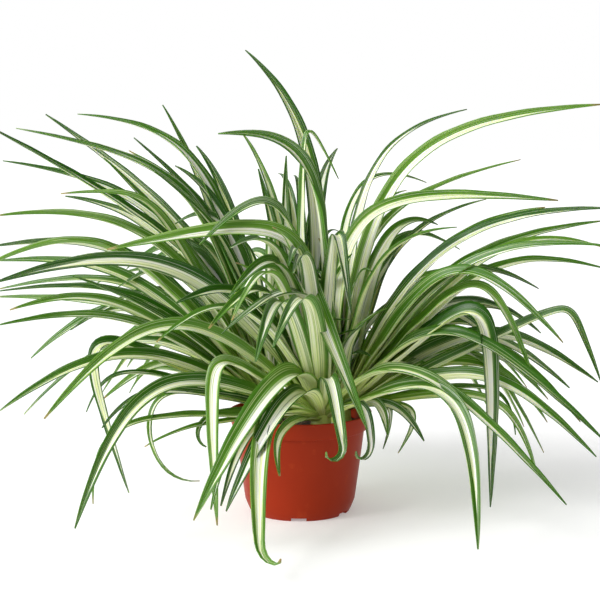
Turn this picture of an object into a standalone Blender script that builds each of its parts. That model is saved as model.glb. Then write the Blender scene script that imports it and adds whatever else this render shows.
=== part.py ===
"""A potted spider plant, in metres, +Z up, standing on the origin.

Four crowns grow in the soil of a six inch nursery pot. Every leaf is a long channelled blade
that rises from its crown, bends over at a shoulder and runs out, or hangs down, to its tip.
"""

import math
import random
from typing import NamedTuple

import bmesh
import bpy
import numpy as np

# Pot
POT_HEIGHT = 0.107
RIM_RADIUS = 0.0762
RIM_ROUND = 0.0008
COLLAR_BOTTOM = 0.0890
COLLAR_BOTTOM_RADIUS = 0.0716
BODY_TOP_RADIUS = 0.0686
BODY_MIDDLE = (0.0643, 0.055)
BODY_LOW = (0.0596, 0.020)
BASE_CORNER = (0.0560, 0.0065)
WALL = 0.0019
FLOOR_TOP = 0.0060
FLOOR_CORNER = 0.0057
FLOOR_RISE = 0.0048
FOOT_OUTER = 0.0525
FOOT_INNER = 0.0465
FOOT_HEIGHT = 0.0035
BOSS_RADIUS = 0.018
POT_STEPS = 40
SLOT_COUNT = 6
SLOT_WIDTH = 0.016
SLOT_LENGTH = 0.030
SLOT_TURN = -91.5
DRAIN_RADIUS = 0.0045
DRAIN_RING = 0.036
DRAIN_SIDES = 10

# Soil and crowns
GAP = 0.0003
SOIL_TOP = 0.090
SOIL_MOUND = 0.003
MOUND_SHOULDER = (0.030, 0.0924)
MOUND_EDGE = 0.055
SOIL_INSET = 0.0006
SOIL_COLLAR_INSET = 0.0009
SOIL_STEPS = 32
CROWN_RADIUS = 0.0125
CROWN_TOP_RADIUS = 0.0095
CROWN_BOTTOM = 0.058
CROWN_TOP = 0.112
CROWN_SIDES = 12
ROOT_HEIGHT = 0.103
ROOT_SPREAD = 0.002

# Blades: a channel is a share of half the width
PATH_STEPS = 42
FINE_STEPS = 210
EVENNESS = 0.6
RING_STEP = 6
CURLED_RING_STEP = 3
KEEL = 0.0014
TIP_WIDTH = 0.0010
TIP_KEEL = 0.0007
BASE_WIDTH = 0.0035
WIDEST_AT = 0.42
TAPER = 2.8
TAPER_EASE = 0.9
CHANNEL_BASE = 0.35
CHANNEL_TIP = 0.30
COIL_EASE = 1.5
ROLL_RANGE = 14

# Blades turn their upper faces to the light, from a part of the way along; angles in radians
LIGHT = np.array((-0.20, -0.86, 0.47))
LIGHT_TURN = (0.38, 0.68)
TURNED_BY = 0.35
LEAST_WILLING = 2.6
SLANT = 0.8

# Grown leaves: each size runs from its low value by its change over the rise, with a spread
REACH = (0.27, -0.19, 0.03)
TIP_HEIGHT = (0.05, 0.32, 0.03)
SHOULDER_HEIGHT = (0.19, 0.16, 0.02)
SHOULDER_SHARE = (0.6, -0.25)
SHOULDER_TURN = 0.15
GROWN_WIDTH = (0.014, 0.024)
GROWN_BEND = (1.3, 2.2)

# Room that a leaf leaves to a neighbouring crown's leaves, to the pot and to the table
SECTOR_ROOM = 0.0012
POT_ROOM = 0.0022
TABLE_ROOM = 0.0012
ROOM_PER_WIDTH = 0.35
PUSH_REACH = 0.22
ROOT_HELD = 0.08
PUSH_ROUNDS = 3

JOIN_SOLVER = "EXACT"
MERGE = 0.000001
SEAM = 0.00001


class Leaf(NamedTuple):
    """One leaf: its tip, the shoulder that it bends over at, and its greatest width.

    The last part may roll up, by the curl in degrees over the coil's share of the leaf. A hook
    turns that roll to the side.
    """

    tip: tuple
    shoulder: tuple
    width: float
    bend: float = 1.8
    curl: float = 0.0
    coil: float = 0.2
    hook: float = 0.0


class Growth(NamedTuple):
    """The leaves that a rule adds to a crown: how many, where they head and how they rise."""

    count: int
    bearings: tuple
    rises: tuple
    seed: int


class Crown(NamedTuple):
    """One crown: where it stands and the sector round the pot that its leaves keep to."""

    name: str
    place: tuple
    sector: tuple
    growth: Growth


SECTOR_CENTRE = (0.006, 0.0)
CROWNS = (
    Crown("plant_front", (0.022, -0.034), (-155, -25), Growth(3, (-150, -95), (0.45, 0.8), 23)),
    Crown("plant_right", (0.044, 0.012), (-25, 55), Growth(11, (4, 50), (0.0, 1.0), 37)),
    Crown("plant_back", (0.006, 0.042), (55, 125), Growth(18, (58, 122), (0.0, 1.0), 41)),
    Crown("plant_left", (-0.030, 0.012), (125, 205), Growth(9, (130, 176), (0.0, 1.0), 11)),
)

ARRANGED = {
    "plant_left": (
        Leaf((-0.24, 0.06, 0.42), (-0.095, 0.03, 0.405), 0.025, 2.0),
        Leaf((-0.15, 0.08, 0.43), (-0.09, 0.05, 0.33), 0.0145, 1.0),
        Leaf((-0.175, 0.02, 0.395), (-0.065, 0.02, 0.295), 0.016, 2.0),
        Leaf((-0.19, 0.10, 0.38), (-0.075, 0.06, 0.315), 0.016, 2.0),
        Leaf((-0.155, -0.02, 0.365), (-0.065, -0.01, 0.295), 0.0145, 2.0),
        Leaf((-0.295, 0.00, 0.405), (-0.105, 0.005, 0.365), 0.023, 2.5),
        Leaf((-0.285, 0.12, 0.42), (-0.085, 0.05, 0.29), 0.0145, 1.5),
        Leaf((-0.20, -0.03, 0.375), (-0.08, 0.00, 0.25), 0.0145, 1.2),
        Leaf((-0.325, -0.02, 0.41), (-0.09, 0.00, 0.275), 0.021, 2.0),
        Leaf((-0.32, 0.05, 0.37), (-0.14, 0.03, 0.34), 0.0195, 2.0),
        Leaf((-0.24, -0.06, 0.34), (-0.15, -0.04, 0.345), 0.016, 4.0),
        Leaf((-0.26, 0.09, 0.33), (-0.14, 0.06, 0.315), 0.016, 1.6),
        Leaf((-0.30, -0.10, 0.32), (-0.135, -0.06, 0.335), 0.021, 1.6),
        Leaf((-0.32, -0.125, 0.265), (-0.19, -0.08, 0.33), 0.026, 2.0),
        Leaf((-0.33, 0.02, 0.28), (-0.17, 0.02, 0.30), 0.0175, 2.0),
        Leaf((-0.335, 0.07, 0.26), (-0.18, 0.04, 0.27), 0.0175, 2.0),
        Leaf((-0.34, 0.10, 0.225), (-0.17, 0.06, 0.26), 0.016, 2.0),
        Leaf((-0.31, -0.05, 0.24), (-0.16, -0.03, 0.255), 0.016, 2.0),
        Leaf((-0.29, -0.08, 0.225), (-0.19, -0.05, 0.255), 0.0175, 1.8),
        Leaf((-0.33, 0.03, 0.225), (-0.15, 0.02, 0.225), 0.0145, 2.0),
        Leaf((-0.225, -0.09, 0.26), (-0.12, -0.05, 0.215), 0.0175, 1.3),
        Leaf((-0.295, -0.12, 0.215), (-0.165, -0.075, 0.235), 0.0195, 1.8),
        Leaf((-0.295, -0.12, 0.13), (-0.17, -0.075, 0.215), 0.0195, 1.5),
        Leaf((-0.175, -0.07, 0.035), (-0.225, -0.07, 0.215), 0.0195, 4.0),
        Leaf((-0.22, -0.05, 0.115), (-0.195, -0.045, 0.175), 0.0145, 2.0),
        Leaf((-0.205, -0.03, 0.125), (-0.13, -0.02, 0.19), 0.016, 1.5),
        Leaf((-0.185, 0.03, 0.12), (-0.16, 0.02, 0.165), 0.0145, 2.0),
        Leaf((-0.115, 0.10, 0.385), (-0.065, 0.065, 0.33), 0.0175, 1.3),
    ),
    "plant_front": (
        Leaf((-0.29, -0.15, 0.26), (-0.105, -0.085, 0.315), 0.023, 1.5),
        Leaf((-0.24, -0.18, 0.135), (-0.125, -0.10, 0.27), 0.0175, 1.6),
        Leaf((-0.19, -0.15, 0.12), (-0.155, -0.115, 0.165), 0.0135, 2.0),
        Leaf((-0.21, -0.20, 0.035), (-0.155, -0.13, 0.205), 0.019, 1.7),
        Leaf((-0.135, -0.12, 0.03), (-0.165, -0.11, 0.17), 0.012, 2.5, 80, 0.3),
        Leaf((-0.155, -0.10, 0.09), (-0.105, -0.09, 0.118), 0.0095, 1.5),
        Leaf((-0.11, -0.09, 0.085), (-0.10, -0.08, 0.13), 0.011, 2.0, 80),
        Leaf((-0.20, -0.15, 0.045), (-0.20, -0.14, 0.14), 0.011, 2.0),
        Leaf((-0.08, -0.155, 0.025), (-0.087, -0.135, 0.20), 0.0175, 5.0),
        Leaf((-0.10, -0.19, 0.04), (0.0, -0.10, 0.225), 0.0255, 1.3),
        Leaf((-0.07, -0.18, 0.046), (0.004, -0.125, 0.195), 0.0235, 1.2),
        Leaf((-0.085, -0.17, 0.045), (-0.06, -0.12, 0.15), 0.011, 1.5),
        Leaf((-0.075, -0.175, 0.05), (-0.05, -0.11, 0.14), 0.011, 1.5),
        Leaf((-0.034, -0.276, -0.006), (-0.049, -0.12, 0.15), 0.0195, 1.8, -150, 0.2, 90),
        Leaf((-0.035, -0.20, 0.03), (-0.045, -0.125, 0.16), 0.0175, 1.6),
        Leaf((-0.02, -0.12, 0.065), (-0.03, -0.115, 0.12), 0.011, 1.5),
        Leaf((0.047, -0.125, 0.062), (0.029, -0.105, 0.19), 0.016, 2.2, 190, 0.2, 90),
        Leaf((0.073, -0.10, 0.055), (0.070, -0.085, 0.15), 0.011, 2.0, 170, 0.3, 90),
        Leaf((-0.097, -0.12, 0.294), (-0.005, -0.08, 0.385), 0.0205, 1.8),
        Leaf((-0.075, -0.14, 0.21), (0.02, -0.10, 0.285), 0.023, 1.7),
        Leaf((-0.072, -0.13, 0.22), (-0.02, -0.10, 0.32), 0.0195, 1.8, 20),
        Leaf((0.066, -0.12, 0.112), (-0.019, -0.075, 0.324), 0.024, 3.0),
        Leaf((0.05, -0.105, 0.225), (0.036, -0.08, 0.33), 0.0175, 4.0),
        Leaf((0.003, -0.075, 0.225), (0.015, -0.06, 0.17), 0.016, 1.0),
        Leaf((-0.015, -0.085, 0.225), (0.0, -0.06, 0.16), 0.0135, 1.0),
        Leaf((-0.08, -0.06, 0.29), (-0.06, -0.05, 0.23), 0.019, 1.0),
        Leaf((-0.185, -0.13, 0.29), (0.01, -0.09, 0.325), 0.026, 3.0),
        Leaf((-0.08, -0.09, 0.40), (0.03, -0.06, 0.405), 0.026, 2.0),
        Leaf((0.25, -0.19, 0.055), (0.095, -0.12, 0.22), 0.019, 1.6),
        Leaf((0.165, -0.21, 0.018), (0.165, -0.15, 0.20), 0.019, 1.8),
    ),
    "plant_right": (
        Leaf((0.18, 0.06, 0.425), (0.055, 0.04, 0.395), 0.0145, 1.8),
        Leaf((0.32, 0.03, 0.43), (0.07, 0.02, 0.41), 0.018, 1.8),
        Leaf((0.14, 0.09, 0.345), (0.035, 0.04, 0.385), 0.013, 1.6),
        Leaf((0.245, 0.10, 0.37), (0.055, 0.05, 0.325), 0.0165, 1.8),
        Leaf((0.27, 0.00, 0.33), (0.03, 0.00, 0.35), 0.0185, 2.2),
        Leaf((0.21, 0.12, 0.325), (0.075, 0.055, 0.295), 0.013, 1.3),
        Leaf((0.16, -0.04, 0.305), (0.065, -0.015, 0.295), 0.017, 1.5),
        Leaf((0.315, -0.05, 0.325), (0.125, -0.02, 0.32), 0.0185, 1.4),
        Leaf((0.265, 0.05, 0.32), (0.135, 0.03, 0.30), 0.0155, 1.5),
        Leaf((0.345, 0.13, 0.30), (0.155, 0.06, 0.28), 0.0155, 1.6),
        Leaf((0.305, -0.09, 0.29), (0.155, -0.05, 0.30), 0.0185, 1.6),
        Leaf((0.34, 0.08, 0.25), (0.20, 0.05, 0.285), 0.0155, 1.8),
        Leaf((0.32, 0.02, 0.28), (0.20, 0.01, 0.315), 0.013, 1.5),
        Leaf((0.26, -0.10, 0.195), (0.15, -0.05, 0.31), 0.022, 2.0),
        Leaf((0.235, -0.08, 0.155), (0.185, -0.05, 0.29), 0.017, 2.5),
        Leaf((0.185, 0.05, 0.235), (0.10, 0.03, 0.235), 0.014, 1.5),
        Leaf((0.305, -0.07, 0.15), (0.275, -0.05, 0.23), 0.017, 9.0),
        Leaf((0.195, -0.07, 0.02), (0.192, -0.06, 0.255), 0.026, 4.0),
        Leaf((0.30, -0.12, 0.10), (0.14, -0.06, 0.245), 0.020, 2.0),
        Leaf((0.325, 0.04, 0.13), (0.20, 0.03, 0.215), 0.022, 2.0),
        Leaf((0.30, -0.08, 0.075), (0.19, -0.05, 0.18), 0.021, 2.0),
        Leaf((0.245, -0.05, 0.05), (0.215, -0.04, 0.15), 0.013, 2.0),
        Leaf((0.23, 0.00, 0.08), (0.22, 0.00, 0.15), 0.011, 2.0),
        Leaf((0.13, -0.03, 0.08), (0.10, -0.02, 0.13), 0.013, 1.5),
        Leaf((0.105, 0.00, 0.06), (0.135, 0.00, 0.12), 0.013, 2.0),
        Leaf((0.09, 0.02, 0.06), (0.105, 0.015, 0.12), 0.011, 2.0),
        Leaf((0.092, -0.03, 0.085), (0.085, -0.025, 0.13), 0.013, 2.0),
    ),
    "plant_back": (
        Leaf((-0.06, 0.10, 0.49), (0.035, 0.065, 0.40), 0.023, 1.5),
        Leaf((0.042, 0.065, 0.35), (0.003, 0.05, 0.425), 0.016, 5.0),
        Leaf((-0.065, 0.11, 0.40), (-0.01, 0.08, 0.33), 0.0125, 1.0),
        Leaf((-0.046, 0.09, 0.36), (-0.02, 0.06, 0.27), 0.016, 1.0),
        Leaf((-0.015, 0.07, 0.375), (-0.02, 0.06, 0.28), 0.0145, 1.0),
    ),
}


def unit(vector):
    """Return the vector at length one."""
    return vector / np.linalg.norm(vector)


def smooth(x):
    """Rise smoothly from 0 at 0 to 1 at 1."""
    x = np.clip(x, 0.0, 1.0)
    return x * x * (3.0 - 2.0 * x)


def leaf_root(leaf, crown):
    """Return the point inside the crown that a leaf grows from."""
    place = np.array(crown.place)
    outward = unit(np.array(leaf.shoulder[:2]) - place)
    x, y = place + ROOT_SPREAD * outward
    return np.array((x, y, ROOT_HEIGHT))


def conic(root, shoulder, tip, bend):
    """Return points along the arch whose end tangents meet at the shoulder."""
    t = np.linspace(0.0, 1.0, FINE_STEPS + 1)[:, None]
    start = (1.0 - t) ** 2
    middle = 2.0 * bend * t * (1.0 - t)
    end = t ** 2
    return (start * root + middle * shoulder + end * tip) / (start + middle + end)


def along(points):
    """Return how far along the leaf each point lies, from 0 to 1."""
    steps = np.linalg.norm(np.diff(points, axis=0), axis=1)
    return np.minimum(np.concatenate(((0.0,), np.cumsum(steps))) / steps.sum(), 1.0)


def spaced(points):
    """Pick a leaf's points from a fine row of them, closer together where it bends."""
    even = np.linspace(0.0, 1.0, len(points))
    measure = EVENNESS * along(points) + (1.0 - EVENNESS) * even
    wanted = np.linspace(0.0, 1.0, PATH_STEPS + 1)
    return np.stack([np.interp(wanted, measure, column) for column in points.T], axis=1)


def turned(vector, axis, angle):
    """Turn a vector about a unit axis by an angle in radians."""
    return (
        vector * math.cos(angle)
        + np.cross(axis, vector) * math.sin(angle)
        + axis * np.dot(axis, vector) * (1.0 - math.cos(angle))
    )


def curled(points, curl, coil, hook):
    """Roll up the last part of a leaf, inwards for a positive curl in degrees."""
    if not curl:
        return points
    steps = np.diff(points, axis=0)
    chord = points[-1] - points[0]
    axis = unit(np.cross((chord[0], chord[1], 0.0), (0.0, 0.0, -1.0)))
    axis = turned(axis, np.array((0.0, 0.0, 1.0)), math.radians(hook))
    place = along(points)
    result = [points[0]]
    for step, where in zip(steps, place[1:]):
        angle = math.radians(curl) * max(0.0, (where - 1.0 + coil) / coil) ** COIL_EASE
        result.append(result[-1] + turned(step, axis, angle))
    return np.array(result)


def blade_width(where, width):
    """Return the blade's width at each place along it: a narrow base and a long taper."""
    swell = BASE_WIDTH + (width - BASE_WIDTH) * smooth(where / WIDEST_AT)
    taper = (1.0 - where ** TAPER) ** TAPER_EASE
    return TIP_WIDTH + (swell - TIP_WIDTH) * taper


def pushed(points, where, shortfall, direction):
    """Bend a leaf by the shortfall in its room, easing off along it and held at the root."""
    if not shortfall.any():
        return points
    spread = np.abs(where[:, None] - where[None, :]) / PUSH_REACH
    bell = np.clip(1.0 - spread ** 2, 0.0, 1.0) ** 2
    amount = (bell * shortfall[None, :]).max(axis=1) * smooth(where / ROOT_HELD)
    return points + amount[:, None] * direction


def clear_of_sector(points, where, width, crown):
    """Bend a leaf back into its crown's own sector."""
    first, last = (math.radians(angle) for angle in crown.sector)
    inward = (
        np.array((-math.sin(first), math.cos(first), 0.0)),
        np.array((math.sin(last), -math.cos(last), 0.0)),
    )
    centre = np.array((*SECTOR_CENTRE, 0.0))
    for normal in inward:
        room = SECTOR_ROOM + width / 2.0
        shortfall = np.maximum(0.0, room - (points - centre) @ normal)
        points = pushed(points, where, shortfall, normal)
    return points


def clear_of_pot(points, where, width):
    """Lift a leaf over the rim and hold it off the outside of the pot."""
    room = POT_ROOM + ROOM_PER_WIDTH * width / 2.0
    radius = np.hypot(points[:, 0], points[:, 1])
    low = points[:, 2] < POT_HEIGHT + room
    inside = radius < RIM_RADIUS
    over = low & inside & (radius > COLLAR_BOTTOM_RADIUS - 2.0 * room)
    lift = np.where(over, POT_HEIGHT + room - points[:, 2], 0.0)
    points = pushed(points, where, lift, np.array((0.0, 0.0, 1.0)))
    radius = np.hypot(points[:, 0], points[:, 1])
    beside = (points[:, 2] < POT_HEIGHT + room) & ~inside
    shift = np.where(beside, np.maximum(0.0, RIM_RADIUS + room - radius), 0.0)
    outward = points * (1.0, 1.0, 0.0)
    outward = outward / np.maximum(radius, CROWN_RADIUS)[:, None]
    return pushed(points, where, shift, outward)


def clear_of_table(points, where, width):
    """Lay a leaf on the table where it would hang below it."""
    room = TABLE_ROOM + ROOM_PER_WIDTH * width / 2.0
    lift = np.maximum(0.0, room - points[:, 2])
    return points + lift[:, None] * np.array((0.0, 0.0, 1.0))


def leaf_path(leaf, crown):
    """Return the points of a leaf's midrib, with its place along it and width at each."""
    root = leaf_root(leaf, crown)
    points = conic(root, np.array(leaf.shoulder), np.array(leaf.tip), leaf.bend)
    points = spaced(curled(points, leaf.curl, leaf.coil, leaf.hook))
    where = along(points)
    width = blade_width(where, leaf.width)
    for _ in range(PUSH_ROUNDS):
        points = clear_of_pot(points, where, width)
        points = clear_of_sector(points, where, width, crown)
        points = clear_of_table(points, where, width)
    return points, where, width


def light_turn(tangent, side, place, turn):
    """Return the angle by which a blade turns its upper face towards the light."""
    face = np.cross(tangent, side)
    lit = LIGHT - np.dot(LIGHT, tangent) * tangent
    angle = math.atan2(np.dot(np.cross(face, lit), tangent), np.dot(face, lit))
    willing = smooth(LEAST_WILLING - abs(angle)) * smooth(np.linalg.norm(lit) / SLANT)
    return turn * angle * willing * smooth(place / TURNED_BY)


def leaf_frames(points, where, turn, roll):
    """Return the side and the upper face's direction at each point of a midrib."""
    tangents = np.gradient(points, axis=0)
    outward = points[-1] - points[0]
    across = np.array((-outward[1], outward[0], 0.0))
    sides = []
    faces = []
    for tangent, place in zip(tangents, where):
        tangent = unit(tangent)
        side = unit(across - np.dot(across, tangent) * tangent)
        angle = light_turn(tangent, side, place, turn) + math.radians(roll)
        side = turned(side, tangent, angle)
        sides.append(side)
        faces.append(np.cross(tangent, side))
    return np.array(sides), np.array(faces)


def grown_leaf(crown, rng):
    """Return a leaf of the crown's fountain: the more upright, the shorter its reach."""
    growth = crown.growth
    bearing = math.radians(rng.uniform(*growth.bearings))
    rise = rng.uniform(*growth.rises)
    reach = REACH[0] + REACH[1] * rise ** 2 + rng.uniform(-REACH[2], REACH[2])
    tip_height = TIP_HEIGHT[0] + TIP_HEIGHT[1] * rise + rng.uniform(-TIP_HEIGHT[2], TIP_HEIGHT[2])
    share = SHOULDER_SHARE[0] + SHOULDER_SHARE[1] * rise
    low, change, spread = SHOULDER_HEIGHT
    shoulder_height = low + change * rise + rng.uniform(-spread, spread)
    turn = rng.uniform(-SHOULDER_TURN, SHOULDER_TURN)
    tip = (
        crown.place[0] + reach * math.cos(bearing),
        crown.place[1] + reach * math.sin(bearing),
        tip_height,
    )
    shoulder = (
        crown.place[0] + share * reach * math.cos(bearing + turn),
        crown.place[1] + share * reach * math.sin(bearing + turn),
        shoulder_height,
    )
    return Leaf(tip, shoulder, rng.uniform(*GROWN_WIDTH), rng.uniform(*GROWN_BEND))


def crown_leaves(crown):
    """Return every leaf of a crown, with its turn to the light and its roll in degrees."""
    rng = random.Random(crown.growth.seed)
    leaves = list(ARRANGED[crown.name])
    leaves += [grown_leaf(crown, rng) for _ in range(crown.growth.count)]
    return [
        (leaf, rng.uniform(*LIGHT_TURN), rng.uniform(-ROLL_RANGE, ROLL_RANGE)) for leaf in leaves
    ]


def collection_named(name):
    """Return a new collection linked to the scene."""
    collection = bpy.data.collections.new(name)
    bpy.context.scene.collection.children.link(collection)
    return collection


def plain_material(name, colour, roughness):
    """Return a Principled material of one colour."""
    material = bpy.data.materials.new(name)
    material.use_nodes = True
    shader = material.node_tree.nodes["Principled BSDF"]
    shader.inputs["Base Color"].default_value = (*colour, 1.0)
    shader.inputs["Roughness"].default_value = roughness
    material.diffuse_color = (*colour, 1.0)
    return material


def new_object(name, bm, collection, material=None):
    """Turn a bmesh into a named object."""
    mesh = bpy.data.meshes.new(name)
    bm.to_mesh(mesh)
    bm.free()
    item = bpy.data.objects.new(name, mesh)
    collection.objects.link(item)
    if material:
        mesh.materials.append(material)
    return item


def turned_profile(name, profile, steps, collection, material=None):
    """Turn a profile of (radius, height) points about the Z axis."""
    bm = bmesh.new()
    verts = [bm.verts.new((radius, 0.0, height)) for radius, height in profile]
    for start, end in zip(verts, verts[1:]):
        bm.edges.new((start, end))
    item = new_object(name, bm, collection, material)
    screw = item.modifiers.new("turn", "SCREW")
    screw.steps = steps
    screw.render_steps = steps
    screw.use_merge_vertices = True
    screw.merge_threshold = SEAM
    return item


def cylinder(bottom_radius, top_radius, bottom, top, sides, place=(0.0, 0.0)):
    """Return a bmesh of an upright cone or cylinder."""
    bm = bmesh.new()
    bmesh.ops.create_cone(
        bm, cap_ends=True, segments=sides,
        radius1=bottom_radius, radius2=top_radius, depth=top - bottom,
    )
    bmesh.ops.translate(bm, verts=bm.verts, vec=(*place, (top + bottom) / 2.0))
    return bm


def as_cutter(item):
    """Keep a cutter out of sight."""
    item.hide_render = True
    item.display_type = "WIRE"


def cut(item, cutters):
    """Cut a collection of cutters out of an object."""
    boolean = item.modifiers.new("cut", "BOOLEAN")
    boolean.operation = "DIFFERENCE"
    boolean.operand_type = "COLLECTION"
    boolean.collection = cutters
    boolean.solver = "EXACT"


def pot_profile():
    """Return the pot's section: up the inside, over the rim, down the outside."""
    inner_collar = COLLAR_BOTTOM_RADIUS - WALL
    return (
        (0.0, FLOOR_TOP),
        (BASE_CORNER[0] - FLOOR_CORNER, FLOOR_TOP),
        (BASE_CORNER[0] - WALL / 2.0, FLOOR_TOP + FLOOR_RISE),
        (BODY_LOW[0] - WALL, BODY_LOW[1]),
        (BODY_MIDDLE[0] - WALL, BODY_MIDDLE[1]),
        (BODY_TOP_RADIUS - WALL, COLLAR_BOTTOM - WALL),
        (inner_collar, COLLAR_BOTTOM + WALL / 2.0),
        (RIM_RADIUS - WALL - RIM_ROUND, POT_HEIGHT - RIM_ROUND),
        (RIM_RADIUS - WALL, POT_HEIGHT),
        (RIM_RADIUS - RIM_ROUND, POT_HEIGHT),
        (RIM_RADIUS, POT_HEIGHT - RIM_ROUND),
        (COLLAR_BOTTOM_RADIUS, COLLAR_BOTTOM),
        (BODY_TOP_RADIUS, COLLAR_BOTTOM - RIM_ROUND),
        BODY_MIDDLE,
        BODY_LOW,
        BASE_CORNER,
        (FOOT_OUTER, 0.0),
        (FOOT_INNER, 0.0),
        (FOOT_INNER - RIM_ROUND, FOOT_HEIGHT),
        (BOSS_RADIUS + RIM_ROUND, FOOT_HEIGHT),
        (BOSS_RADIUS, 0.0),
        (0.0, 0.0),
    )


def add_pot(parts, cutters):
    """Make the pot, with slots across its foot ring and drain holes in its floor."""
    material = plain_material("terracotta_plastic", (0.42, 0.06, 0.025), 0.4)
    pot = turned_profile("pot", pot_profile(), POT_STEPS, parts, material)
    for index in range(SLOT_COUNT):
        angle = math.radians(SLOT_TURN + 360.0 * index / SLOT_COUNT)
        bm = bmesh.new()
        bmesh.ops.create_cube(bm, size=1.0)
        bmesh.ops.scale(bm, verts=bm.verts, vec=(SLOT_LENGTH, SLOT_WIDTH, 2.0 * FOOT_HEIGHT))
        item = new_object(f"foot_slot_{index + 1}", bm, cutters)
        item.location = (FOOT_OUTER * math.cos(angle), FOOT_OUTER * math.sin(angle), 0.0)
        item.rotation_euler = (0.0, 0.0, angle)
        as_cutter(item)
        place = (DRAIN_RING * math.cos(angle), DRAIN_RING * math.sin(angle))
        bm = cylinder(DRAIN_RADIUS, DRAIN_RADIUS, -FOOT_HEIGHT, 2.0 * FLOOR_TOP, DRAIN_SIDES, place)
        as_cutter(new_object(f"drain_hole_{index + 1}", bm, cutters))
    cut(pot, cutters)
    pot.data.shade_smooth()


def soil_profile():
    """Return the soil's section, a little inside the pot's own."""
    return (
        (0.0, SOIL_TOP + SOIL_MOUND),
        MOUND_SHOULDER,
        (MOUND_EDGE, SOIL_TOP),
        (COLLAR_BOTTOM_RADIUS - WALL - SOIL_COLLAR_INSET, SOIL_TOP),
        (BODY_TOP_RADIUS - WALL - SOIL_INSET, COLLAR_BOTTOM - WALL),
        (BODY_MIDDLE[0] - WALL - SOIL_INSET, BODY_MIDDLE[1]),
        (BODY_LOW[0] - WALL - SOIL_INSET, BODY_LOW[1]),
        (BASE_CORNER[0] - FLOOR_CORNER - GAP, FLOOR_TOP + GAP),
        (0.0, FLOOR_TOP + GAP),
    )


def add_soil(parts, holes):
    """Make the soil, with a plain hole for each crown."""
    material = plain_material("potting_soil", (0.035, 0.022, 0.014), 0.95)
    soil = turned_profile("soil", soil_profile(), SOIL_STEPS, parts, material)
    for crown in CROWNS:
        bottom = CROWN_BOTTOM - GAP
        top = CROWN_TOP + GAP
        bm = cylinder(
            CROWN_RADIUS + GAP, CROWN_TOP_RADIUS + GAP, bottom, top, CROWN_SIDES, crown.place
        )
        as_cutter(new_object(f"hole_{crown.name}", bm, holes))
    cut(soil, holes)
    soil.data.shade_smooth()


def blade_bmesh(leaf, crown, turn, roll):
    """Return a closed blade: a four-sided bar, sliced into rings and laid along the leaf."""
    points, where, width = leaf_path(leaf, crown)
    sides, faces = leaf_frames(points, where, turn, roll)
    ring_step = CURLED_RING_STEP if leaf.curl else RING_STEP
    rings = PATH_STEPS // ring_step
    bm = bmesh.new()
    bmesh.ops.create_cone(
        bm, cap_ends=True, segments=4, radius1=1.0, radius2=1.0, depth=1.0,
    )
    bmesh.ops.translate(bm, verts=bm.verts, vec=(0.0, 0.0, 0.5))
    for ring in range(1, rings):
        bmesh.ops.bisect_plane(
            bm, geom=bm.verts[:] + bm.edges[:] + bm.faces[:], dist=0.0001,
            plane_co=(0.0, 0.0, ring / rings), plane_no=(0.0, 0.0, 1.0),
        )
    edge_ring = {}
    for vert in bm.verts:
        ring = round(vert.co.z * rings)
        index = ring * ring_step
        half = width[index] / 2.0
        channel = CHANNEL_TIP + (CHANNEL_BASE - CHANNEL_TIP) * (1.0 - where[index]) ** 2
        keel = TIP_KEEL + (KEEL - TIP_KEEL) * (1.0 - where[index] ** 4)
        side = round(vert.co.x)
        if side:
            offset = side * half * sides[index] + half * channel * faces[index]
            edge_ring[vert] = ring
        else:
            offset = round(vert.co.y) * keel / 2.0 * faces[index]
        vert.co = points[index] + offset
    split_alike(bm, edge_ring)
    bmesh.ops.recalc_face_normals(bm, faces=bm.faces)
    return bm


def split_alike(bm, edge_ring):
    """Split the upper and the lower faces of a blade alike, and its ends across the keel."""
    for face in bm.faces[:]:
        verts = list(face.verts)
        start = min((v for v in verts if v in edge_ring), key=edge_ring.get)
        rings = {edge_ring[v] for v in verts if v in edge_ring}
        if len(rings) == 1:
            start = next(v for v in verts if v not in edge_ring)
        bmesh.utils.face_split(face, start, verts[(verts.index(start) + 2) % 4])


def union_of(item, collection):
    """Join a collection's objects to an object and remove them."""
    boolean = item.modifiers.new("join", "BOOLEAN")
    boolean.operation = "UNION"
    boolean.operand_type = "COLLECTION"
    boolean.collection = collection
    boolean.solver = JOIN_SOLVER
    evaluated = item.evaluated_get(bpy.context.evaluated_depsgraph_get())
    joined = bpy.data.meshes.new_from_object(evaluated)
    item.modifiers.clear()
    item.data = joined
    for extra in list(collection.objects):
        bpy.data.objects.remove(extra, do_unlink=True)
    bpy.data.collections.remove(collection)


def keep_outer_body(mesh):
    """Drop sealed hollows and loose scraps, keeping the largest shell."""
    bm = bmesh.new()
    bm.from_mesh(mesh)
    bmesh.ops.remove_doubles(bm, verts=bm.verts, dist=MERGE)
    seen = set()
    shells = []
    for start in bm.faces:
        if start in seen:
            continue
        shell = [start]
        seen.add(start)
        for face in shell:
            for edge in face.edges:
                if len(edge.link_faces) != 2:
                    continue
                for other in edge.link_faces:
                    if other not in seen:
                        seen.add(other)
                        shell.append(other)
        shells.append(shell)
    shells.sort(key=len)
    for shell in shells[:-1]:
        bmesh.ops.delete(bm, geom=shell, context="FACES")
    bm.to_mesh(mesh)
    bm.free()


def add_crown(crown, parts):
    """Make one crown with its leaves, joined in one body."""
    material = plain_material(f"{crown.name}_leaf", (0.12, 0.30, 0.06), 0.45)
    stub = cylinder(
        CROWN_RADIUS, CROWN_TOP_RADIUS, CROWN_BOTTOM, CROWN_TOP, CROWN_SIDES, crown.place
    )
    item = new_object(crown.name, stub, parts, material)
    blades = collection_named(f"{crown.name}_blades")
    for index, (leaf, turn, roll) in enumerate(crown_leaves(crown)):
        blade = blade_bmesh(leaf, crown, turn, roll)
        new_object(f"{crown.name}_blade_{index + 1}", blade, blades)
    union_of(item, blades)
    keep_outer_body(item.data)
    item.data.materials.clear()
    item.data.materials.append(material)


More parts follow.
